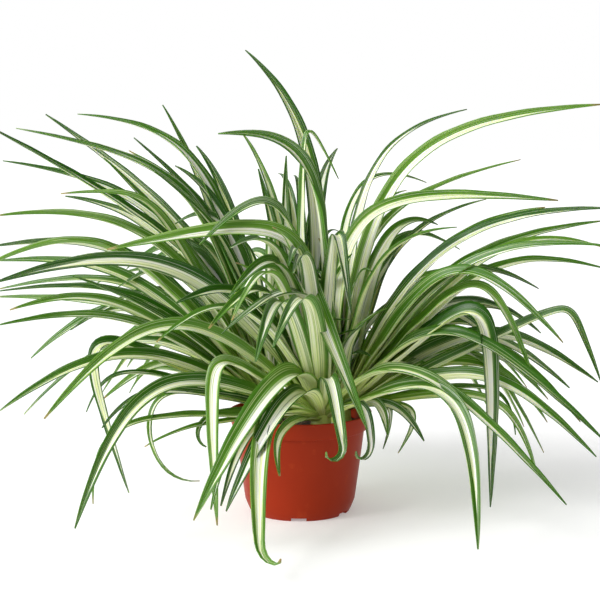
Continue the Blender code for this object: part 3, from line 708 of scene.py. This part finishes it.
def add_crown_base(crown, upper):
    """Make the short pale base that the leaves of a crown sheathe."""
    bm = bmesh.new()
    layers = blade_layers(bm)
    top = ROOT_HEIGHT + CROWN_RADIUS
    bottom = SOIL_TOP - CROWN_RADIUS
    cone = bmesh.ops.create_cone(
        bm, cap_ends=True, segments=CROWN_SIDES,
        radius1=CROWN_RADIUS, radius2=CROWN_TOP_RADIUS, depth=top - bottom,
    )
    bmesh.ops.translate(bm, verts=cone["verts"], vec=(*crown.place, (top + bottom) / 2.0))
    for vert in cone["verts"]:
        vert[layers["blade"]] = (0.0, 0.0, 0.0)
        vert[layers["kind"]] = CROWN_KIND
    base_piece = new_piece(f"{crown.name}_base", bm, (upper,))
    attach(base_piece, "root")


def new_piece(name, bm, materials):
    """Turn a bmesh into a smooth piece with its materials."""
    mesh = bpy.data.meshes.new(name)
    bm.to_mesh(mesh)
    bm.free()
    for material in materials:
        mesh.materials.append(material)
    mesh.shade_smooth()
    piece = bpy.data.objects.new(name, mesh)
    bpy.context.scene.collection.objects.link(piece)
    return piece


def corner_order(part, count):
    """Return a number from the corners of an edge or face, which puts a mesh in one order."""
    key = 0
    for index in sorted(vert.index for vert in part.verts):
        key = key * count + index
    return float(key)


def turned_bmesh(profile, steps):
    """Return a closed solid turned from a profile whose ends lie on the axis."""
    bm = bmesh.new()
    verts = [bm.verts.new((radius, 0.0, height)) for radius, height in profile]
    edges = [bm.edges.new(pair) for pair in zip(verts, verts[1:])]
    bmesh.ops.spin(
        bm, geom=verts + edges, axis=(0.0, 0.0, 1.0), cent=(0.0, 0.0, 0.0),
        angle=2.0 * math.pi, steps=steps, use_merge=True,
    )
    bmesh.ops.remove_doubles(bm, verts=bm.verts, dist=MERGE_DISTANCE)
    bmesh.ops.recalc_face_normals(bm, faces=bm.faces)
    bm.verts.index_update()
    for parts in (bm.edges, bm.faces):
        parts.sort(key=lambda part: corner_order(part, len(bm.verts)))
    return bm


def arc(centre, radius, start, end, count):
    """Return points along an arc, by its centre, radius and angles in degrees."""
    angles = np.radians(np.linspace(start, end, count))
    return [(centre[0] + radius * math.cos(a), centre[1] + radius * math.sin(a)) for a in angles]


def inner_wall():
    """Return the pot's inside, from the middle of its floor up to its rim."""
    inner_collar = COLLAR_BOTTOM_RADIUS - WALL
    return [
        (0.0, FLOOR_TOP),
        (BASE_CORNER[0] - FLOOR_CORNER, FLOOR_TOP),
        (BASE_CORNER[0] - WALL / 2.0, FLOOR_TOP + FLOOR_RISE),
        (BODY_LOW[0] - WALL, BODY_LOW[1]),
        (BODY_MIDDLE[0] - WALL, BODY_MIDDLE[1]),
        (BODY_TOP_RADIUS - WALL, COLLAR_BOTTOM - WALL),
        (inner_collar, COLLAR_BOTTOM + WALL / 2.0),
    ]


def rim_and_collar():
    """Return the rounded rim and the collar with its rounded lower edge."""
    lip = WALL / 2.0
    rim = arc((RIM_RADIUS - lip, POT_HEIGHT - lip), lip, 180, 0, RIM_ARC_POINTS)
    corner = (COLLAR_BOTTOM_RADIUS - RIM_ROUND, COLLAR_BOTTOM + RIM_ROUND)
    return rim + arc(corner, RIM_ROUND, 0, COLLAR_ARC_END, COLLAR_ARC_POINTS)


def outer_wall():
    """Return the pot's outside, from its collar down to the middle of its base."""
    base_rise = ((BASE_CORNER[0] + BODY_LOW[0]) / 2.0, (BASE_CORNER[1] + BODY_LOW[1]) / 2.0)
    return [
        (BODY_TOP_RADIUS, COLLAR_BOTTOM - RIM_ROUND / 2.0),
        BODY_MIDDLE,
        BODY_LOW,
        (base_rise[0] + RIM_ROUND, base_rise[1]),
        BASE_CORNER,
        (FOOT_OUTER + RIM_ROUND, RIM_ROUND),
        (FOOT_OUTER, 0.0),
        (FOOT_INNER, 0.0),
        (FOOT_INNER - RIM_ROUND, FOOT_HEIGHT),
        (BOSS_RADIUS + RIM_ROUND, FOOT_HEIGHT),
        (BOSS_RADIUS, 0.0),
        (0.0, 0.0),
    ]


def cut_away(piece, cutters):
    """Cut each cutter's bmesh out of a piece, and apply the cuts."""
    made = []
    for bm in cutters:
        cutter = new_piece("cutter", bm, ())
        made.append(cutter)
        boolean = piece.modifiers.new("cut", "BOOLEAN")
        boolean.operation = "DIFFERENCE"
        boolean.object = cutter
        boolean.solver = "EXACT"
    evaluated = piece.evaluated_get(bpy.context.evaluated_depsgraph_get())
    mesh = bpy.data.meshes.new_from_object(evaluated)
    piece.modifiers.clear()
    piece.data = mesh
    for cutter in made:
        bpy.data.objects.remove(cutter, do_unlink=True)


def foot_slot():
    """Return the cutter for one slot across the foot ring, before it is turned to its place."""
    bm = bmesh.new()
    bmesh.ops.create_cube(bm, size=1.0)
    bmesh.ops.scale(bm, verts=bm.verts, vec=(SLOT_LENGTH, SLOT_WIDTH, 2.0 * FOOT_HEIGHT))
    bmesh.ops.translate(bm, verts=bm.verts, vec=(FOOT_OUTER, 0.0, 0.0))
    return bm


def drain_hole():
    """Return the cutter for one drain hole, before it is turned to its place."""
    bm = bmesh.new()
    bmesh.ops.create_cone(
        bm, cap_ends=True, segments=DRAIN_SIDES,
        radius1=DRAIN_RADIUS, radius2=DRAIN_RADIUS, depth=4.0 * FLOOR_TOP,
    )
    bmesh.ops.translate(bm, verts=bm.verts, vec=(DRAIN_RING, 0.0, 0.0))
    return bm


def foot_cutters():
    """Return the slots across the foot ring and the drain holes."""
    made = []
    for index in range(SLOT_COUNT):
        angle = math.radians(SLOT_TURN + 360.0 * index / SLOT_COUNT)
        turn = Matrix.Rotation(angle, 3, "Z")
        for bm in (foot_slot(), drain_hole()):
            bmesh.ops.rotate(bm, verts=bm.verts, cent=(0.0, 0.0, 0.0), matrix=turn)
            made.append(bm)
    return made


def add_pot():
    """Make the pot."""
    profile = inner_wall() + rim_and_collar() + outer_wall()
    pot = new_piece("pot_shell", turned_bmesh(profile, POT_STEPS), (pot_material(),))
    cut_away(pot, foot_cutters())
    pot.data.set_sharp_from_angle(angle=math.radians(SHARP_ANGLE))
    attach(pot, "root")
    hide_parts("pot")


def soil_height(x, y):
    """Return how far the lumpy soil stands above its level at a point."""
    place = Vector((x, y, 0.0))
    lumps = noise.fractal(place * LUMP_SCALE, LUMP_EASE, LAYER_STEP, LUMP_LAYERS)
    grit_place = place * GRIT_SCALE + Vector(GRIT_PLACE)
    grit = noise.fractal(grit_place, GRIT_EASE, LAYER_STEP, GRIT_LAYERS)
    return LUMP_HEIGHT * lumps + GRIT_HEIGHT * grit


def add_soil():
    """Make the soil with a crumbly top."""
    top = [(radius, SOIL_TOP) for radius in np.linspace(0.0, SOIL_RADIUS, SOIL_RINGS)]
    profile = top + [
        (BODY_TOP_RADIUS - WALL - SOIL_INSET, COLLAR_BOTTOM - WALL),
        (BODY_MIDDLE[0] - WALL - SOIL_INSET, BODY_MIDDLE[1]),
        (BODY_LOW[0] - WALL - SOIL_INSET, BODY_LOW[1]),
        (BASE_CORNER[0] - FLOOR_CORNER - GAP, SOIL_BOTTOM),
        (0.0, SOIL_BOTTOM),
    ]
    bm = turned_bmesh(profile, SOIL_STEPS)
    for vert in bm.verts:
        if vert.co.z > SOIL_TOP - GAP:
            vert.co.z += soil_height(vert.co.x, vert.co.y) + SOIL_LIFT
    soil = new_piece("soil_bed", bm, (soil_material(),))
    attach(soil, "root")
    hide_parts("soil")


def add_crumb(bm, rng):
    """Add one crumb where chance lays it on the soil, and return its faces."""
    radius = CRUMB_RING * math.sqrt(rng.random())
    angle = rng.uniform(0.0, 2.0 * math.pi)
    x = radius * math.cos(angle)
    y = radius * math.sin(angle)
    crumb = bmesh.ops.create_icosphere(bm, subdivisions=1, radius=rng.uniform(*CRUMB_SIZE))
    squash = [rng.uniform(*limits) for limits in CRUMB_SQUASH]
    bmesh.ops.scale(bm, verts=crumb["verts"], vec=squash)
    turn = Matrix.Rotation(rng.uniform(0.0, math.pi), 3, "Z")
    bmesh.ops.rotate(bm, verts=crumb["verts"], cent=(0.0, 0.0, 0.0), matrix=turn)
    height = SOIL_TOP + SOIL_LIFT + soil_height(x, y)
    bmesh.ops.translate(bm, verts=crumb["verts"], vec=(x, y, height))
    return {face for vert in crumb["verts"] for face in vert.link_faces}


def add_crumbs():
    """Scatter bark crumbs and white perlite grains over the soil."""
    rng = random.Random(CRUMB_SEED)
    bm = bmesh.new()
    for index in range(CRUMBS):
        for face in add_crumb(bm, rng):
            face.material_index = int(index % CRUMBS_PER_PERLITE == 0)
    crumbs = new_piece("soil_crumbs", bm, (bark_material(), perlite_material()))
    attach(crumbs, "root")


def new_material(name, roughness):
    """Return a material with its node tree and its Principled shader."""
    material = bpy.data.materials.new(name)
    material.use_nodes = True
    tree = material.node_tree
    shader = tree.nodes["Principled BSDF"]
    shader.inputs["Roughness"].default_value = roughness
    return material, tree, shader


def feed(tree, socket, value):
    """Link a socket to another, or give it a fixed value."""
    if isinstance(value, bpy.types.NodeSocket):
        tree.links.new(value, socket)
    else:
        socket.default_value = value


def maths(tree, operation, *values):
    """Return the result of a Math node."""
    item = tree.nodes.new("ShaderNodeMath")
    item.operation = operation
    for socket, value in zip(item.inputs, values):
        feed(tree, socket, value)
    return item.outputs[0]


def ease(tree, value, low, high):
    """Return a smooth rise from 0 at low to 1 at high."""
    item = tree.nodes.new("ShaderNodeMapRange")
    item.interpolation_type = "SMOOTHSTEP"
    feed(tree, item.inputs["Value"], value)
    feed(tree, item.inputs["From Min"], low)
    feed(tree, item.inputs["From Max"], high)
    return item.outputs["Result"]


def blend(tree, factor, first, second):
    """Return a mix of two colours."""
    item = tree.nodes.new("ShaderNodeMix")
    item.data_type = "RGBA"
    feed(tree, item.inputs[MIX_FACTOR], factor)
    feed(tree, item.inputs[MIX_FIRST], first)
    feed(tree, item.inputs[MIX_SECOND], second)
    return item.outputs[MIX_RESULT]


def read_vector(tree, name):
    """Return the three parts of a piece's own attribute."""
    item = tree.nodes.new("ShaderNodeAttribute")
    item.attribute_name = name
    parts = tree.nodes.new("ShaderNodeSeparateXYZ")
    tree.links.new(item.outputs["Vector"], parts.inputs[0])
    return parts.outputs


def grain(tree, vector, scale, detail=2.0):
    """Return a noise value from a vector socket."""
    item = tree.nodes.new("ShaderNodeTexNoise")
    item.inputs["Scale"].default_value = scale
    item.inputs["Detail"].default_value = detail
    tree.links.new(vector, item.inputs["Vector"])
    return item.outputs["Fac"]


def combine(tree, x, y, z):
    """Return a vector socket from three values."""
    item = tree.nodes.new("ShaderNodeCombineXYZ")
    for socket, value in zip(item.inputs, (x, y, z)):
        feed(tree, socket, value)
    return item.outputs[0]


def bump(tree, shader, height, strength, distance):
    """Give a shader a bump from a height."""
    item = tree.nodes.new("ShaderNodeBump")
    item.inputs["Strength"].default_value = strength
    item.inputs["Distance"].default_value = distance
    tree.links.new(height, item.inputs["Height"])
    tree.links.new(item.outputs["Normal"], shader.inputs["Normal"])


def object_place(tree):
    """Return the Object coordinates."""
    return tree.nodes.new("ShaderNodeTexCoord").outputs["Object"]


def vein_noises(tree, across, run, far):
    """Return two noises that run along the veins, one in bands and one in fine lines."""
    slow = maths(tree, "MULTIPLY", run, VEIN_RUN)
    band_place = combine(tree, maths(tree, "MULTIPLY", across, BAND_SCALE), slow, far)
    line_place = combine(tree, maths(tree, "MULTIPLY", across, LINE_SCALE), slow, far)
    return grain(tree, band_place, scale=1.0), grain(tree, line_place, scale=1.0, detail=1.0)


def stripe_margin(tree, across, where, stripe, seed, band):
    """Return how far a point lies outside the cream stripe, below 0 within it."""
    middle = maths(tree, "MULTIPLY_ADD", seed, *STRIPE_PLACE)
    aside = maths(tree, "ABSOLUTE", maths(tree, "ADD", across, middle))
    half = maths(tree, "MULTIPLY_ADD", stripe, *STRIPE_HALF)
    half = maths(tree, "MULTIPLY", half, maths(tree, "MULTIPLY_ADD", where, *STRIPE_TAPER))
    closing = maths(tree, "MULTIPLY", ease(tree, where, *STRIPE_END), STRIPE_CLOSING)
    half = maths(tree, "SUBTRACT", half, closing)
    jitter = maths(tree, "MULTIPLY_ADD", band, *STRIPE_JITTER)
    return maths(tree, "SUBTRACT", maths(tree, "ADD", aside, jitter), half)


def green_share(tree, margin, line):
    """Return how green a point is: beside the stripe, and on fine lines along it."""
    beside = ease(tree, margin, *STRIPE_EDGE)
    green_line = maths(tree, "MULTIPLY", ease(tree, line, *GREEN_LINES), GREEN_LINE_DEPTH)
    pale_line = maths(tree, "MULTIPLY", ease(tree, line, *PALE_LINES), PALE_LINE_DEPTH)
    greener = maths(tree, "MAXIMUM", beside, green_line)
    return maths(tree, "MULTIPLY", greener, maths(tree, "SUBTRACT", 1.0, pale_line))


def base_share(tree, run, where, run_range, where_range):
    """Return how near a point lies to the leaf's base, by its distance and its place."""
    near = ease(tree, run, *run_range)
    return maths(tree, "MULTIPLY", near, ease(tree, where, *where_range))


def leaf_green(tree, colours, margin, glow_near_base, tone, mottle):
    """Return a leaf's green, lighter beside the stripe and by the leaf's tone, with a painted
    glow that lightens it near the base.
    """
    shade = maths(tree, "MULTIPLY_ADD", tone, *LEAF_TONE)
    shade = maths(tree, "MULTIPLY_ADD", mottle, MOTTLE_DEPTH, shade)
    by_stripe = ease(tree, margin, *BY_STRIPE)
    shade = maths(tree, "MULTIPLY_ADD", by_stripe, BY_STRIPE_LIGHTER, shade)
    # Painted glow: the green lightened near the base, standing in for light shining through the
    # leaves
    shade = maths(tree, "MULTIPLY_ADD", glow_near_base, PAINTED_GLOW_LIGHTER, shade)
    green = blend(tree, ease(tree, shade, *DARK_TO_GREEN), colours["dark"], colours["green"])
    return blend(tree, ease(tree, shade, *GREEN_TO_LIGHT), green, colours["light"])


def leaf_cream(tree, colours, band, glow_near_base):
    """Return a leaf's cream, in bands of lime, with a painted glow that tints it to lime near the
    base.
    """
    cream = blend(tree, ease(tree, band, *CREAM_TO_LIME), colours["cream"], colours["lime"])
    # Painted glow: the cream tinted to lime near the base, standing in for light shining through
    # the leaves
    tint = maths(tree, "MULTIPLY", glow_near_base, PAINTED_GLOW_TINT)
    return blend(tree, tint, cream, colours["base"])


def leaf_material(name, colours, roughness):
    """Return the striped leaf: green margins, a cream middle and fine lines along the veins."""
    material, tree, shader = new_material(name, roughness)
    across, run, where = read_vector(tree, "blade")
    stripe, tone, seed = read_vector(tree, "kind")
    far = maths(tree, "MULTIPLY", seed, NOISE_APART)
    band, line = vein_noises(tree, across, run, far)
    mottle_place = combine(tree, across, maths(tree, "MULTIPLY", run, MOTTLE_RUN), far)
    mottle = grain(tree, mottle_place, scale=1.0)
    margin = stripe_margin(tree, across, where, stripe, seed, band)
    # Painted glow of light through the leaves, strongest near the base
    glow_near_base = base_share(tree, run, where, *PAINTED_GLOW_RANGES)
    green = leaf_green(tree, colours, margin, glow_near_base, tone, mottle)
    cream = leaf_cream(tree, colours, band, glow_near_base)
    colour = blend(tree, green_share(tree, margin, line), cream, green)
    young = maths(tree, "MULTIPLY", base_share(tree, run, where, *YOUNG), YOUNG_TINT)
    colour = blend(tree, young, colour, colours["base"])
    dry_leaf = ease(tree, tone, *DRY_LEAVES)
    dry = maths(tree, "MULTIPLY", ease(tree, where, *DRY_TIP), dry_leaf)
    colour = blend(tree, dry, colour, colours["dry"])
    tree.links.new(colour, shader.inputs["Base Color"])
    shader.inputs["Specular IOR Level"].default_value = LEAF_GLOSS
    shader.inputs["Subsurface Weight"].default_value = LEAF_SOFTNESS
    shader.inputs["Subsurface Radius"].default_value = LEAF_SOFT_RADIUS
    shader.inputs["Subsurface Scale"].default_value = LEAF_SOFT_SCALE
    bump(tree, shader, line, strength=0.25, distance=0.0003)
    return material


def pot_material():
    """Return moulded terracotta-red plastic with a fine satin grain and faint scuffs."""
    material, tree, shader = new_material("moulded_plastic", POT_ROUGHNESS)
    place = object_place(tree)
    cloud = grain(tree, place, scale=14.0, detail=3.0)
    fine = grain(tree, place, scale=900.0, detail=1.0)
    scuff = ease(tree, grain(tree, place, scale=60.0, detail=5.0), *SCUFFS)
    colour = blend(tree, cloud, POT_COLOURS["deep"], POT_COLOURS["bright"])
    scuff_tint = maths(tree, "MULTIPLY", scuff, SCUFF_TINT)
    colour = blend(tree, scuff_tint, colour, POT_COLOURS["scuffed"])
    tree.links.new(colour, shader.inputs["Base Color"])
    rough = maths(tree, "MULTIPLY_ADD", cloud, CLOUD_ROUGHER, POT_ROUGHNESS)
    rough = maths(tree, "MULTIPLY_ADD", scuff, SCUFF_ROUGHER, rough)
    tree.links.new(rough, shader.inputs["Roughness"])
    shader.inputs["Specular IOR Level"].default_value = POT_GLOSS
    bump(tree, shader, fine, strength=0.12, distance=0.0002)
    return material


def earthy_material(name, dark, light, scale, roughness):
    """Return a rough material mottled between two colours."""
    material, tree, shader = new_material(name, roughness)
    spots = grain(tree, object_place(tree), scale, detail=5.0)
    mottle = ease(tree, spots, low=0.35, high=0.65)
    tree.links.new(blend(tree, mottle, linear(dark), linear(light)), shader.inputs["Base Color"])
    bump(tree, shader, spots, strength=0.6, distance=0.001)
    return material


def soil_material():
    """Return damp peat."""
    return earthy_material(
        "peat", dark=(26, 18, 13), light=(66, 48, 36), scale=320.0, roughness=0.95
    )


def bark_material():
    """Return shredded bark."""
    return earthy_material(
        "bark", dark=(48, 31, 21), light=(104, 74, 52), scale=500.0, roughness=0.9
    )


def perlite_material():
    """Return white perlite."""
    return earthy_material(
        "perlite", dark=(196, 192, 184), light=(236, 234, 228), scale=700.0, roughness=0.85
    )


def add_crowns():
    """Make every crown: its leaves and its base."""
    upper = leaf_material("leaf_upper", UPPER_COLOURS, UPPER_ROUGHNESS)
    under = leaf_material("leaf_under", UNDER_COLOURS, UNDER_ROUGHNESS)
    for crown in CROWNS:
        add_leaves(crown, upper, under)
        add_crown_base(crown, upper)


def add_floor():
    """Lay a plain pale floor."""
    bm = bmesh.new()
    bmesh.ops.create_grid(bm, x_segments=1, y_segments=1, size=FLOOR_SIZE)
    material, tree, shader = new_material("studio_floor", FLOOR_ROUGHNESS)
    shader.inputs["Base Color"].default_value = (FLOOR_SHADE, FLOOR_SHADE, FLOOR_SHADE, 1.0)
    shader.inputs["Emission Color"].default_value = (1.0, 1.0, 1.0, 1.0)
    shader.inputs["Emission Strength"].default_value = FLOOR_GLOW
    new_piece("studio_floor", bm, (material,))


def add_sun():
    """Add a broad soft light from the upper left of the front."""
    data = bpy.data.lights.new("key_light", "SUN")
    data.angle = math.radians(KEY_ANGLE)
    data.energy = KEY_POWER
    light = bpy.data.objects.new("key_light", data)
    light.rotation_euler = (-Vector(KEY_FROM)).to_track_quat("-Z", "Y").to_euler()
    bpy.context.scene.collection.objects.link(light)


def add_surroundings():
    """Set white surroundings that light the plant softly, more from its left."""
    world = bpy.data.worlds.new("white_studio")
    world.use_nodes = True
    tree = world.node_tree
    towards = tree.nodes.new("ShaderNodeSeparateXYZ")
    tree.links.new(tree.nodes.new("ShaderNodeTexCoord").outputs["Generated"], towards.inputs[0])
    sky = maths(tree, "MULTIPLY_ADD", towards.outputs[0], -SKY_SLOPE, SKY_LIGHT)
    seen = tree.nodes.new("ShaderNodeLightPath").outputs["Is Camera Ray"]
    lighting = maths(tree, "MULTIPLY", maths(tree, "SUBTRACT", 1.0, seen), sky)
    strength = maths(tree, "ADD", lighting, seen)
    background = tree.nodes["Background"]
    background.inputs["Color"].default_value = (1.0, 1.0, 1.0, 1.0)
    tree.links.new(strength, background.inputs["Strength"])
    bpy.context.scene.world = world


def add_camera():
    """Place the camera in front of the plant, a little above it."""
    data = bpy.data.cameras.new("camera")
    data.lens = CAMERA_LENS
    camera = bpy.data.objects.new("camera", data)
    camera.location = CAMERA_PLACE
    aim = Vector(CAMERA_AIM) - Vector(CAMERA_PLACE)
    camera.rotation_euler = aim.to_track_quat("-Z", "Y").to_euler()
    bpy.context.scene.collection.objects.link(camera)
    bpy.context.scene.camera = camera


def add_studio():
    """Set the floor, the soft light, the white surroundings and the camera."""
    add_floor()
    add_sun()
    add_surroundings()
    add_camera()
    bpy.context.scene.view_settings.view_transform = "Standard"


add_pot()
add_soil()
add_crumbs()
add_crowns()
add_studio()
